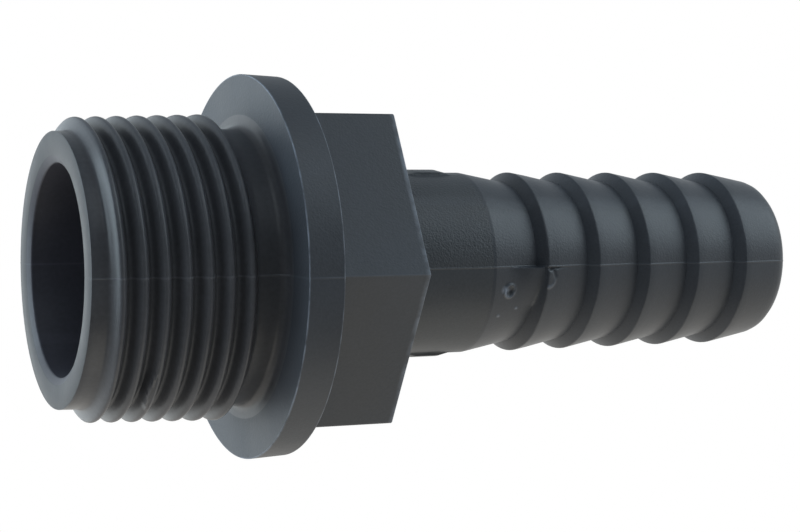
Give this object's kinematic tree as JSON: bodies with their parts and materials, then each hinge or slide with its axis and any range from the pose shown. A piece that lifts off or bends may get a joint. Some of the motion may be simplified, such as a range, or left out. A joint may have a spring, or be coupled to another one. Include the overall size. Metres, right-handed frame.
{
  "type": "hose barb tail",
  "caption": "One-piece moulded hose tail: tapered male pipe thread, sealing flange, spanner hexagon and a ridged tail that grips a pushed-on hose.",
  "frame": {"origin": "centre of the thread's end face, on which the fitting stands", "axes": "+Z along the bore from the threaded end to the barbed tip; the mould's parting plane is the YZ plane, so two hexagon corners lie on the Y axis and two flats face +X and -X"},
  "size_m": [0.034, 0.034, 0.0699],
  "materials": {
    "charcoal_plastic": "moulded charcoal polypropylene, fine spark-eroded grain on flange, hexagon and shank, smoother on thread and barbs"
  },
  "bodies": {
    "root": {"hose_barb_tail": "charcoal_plastic"}
  },
  "joints": []
}
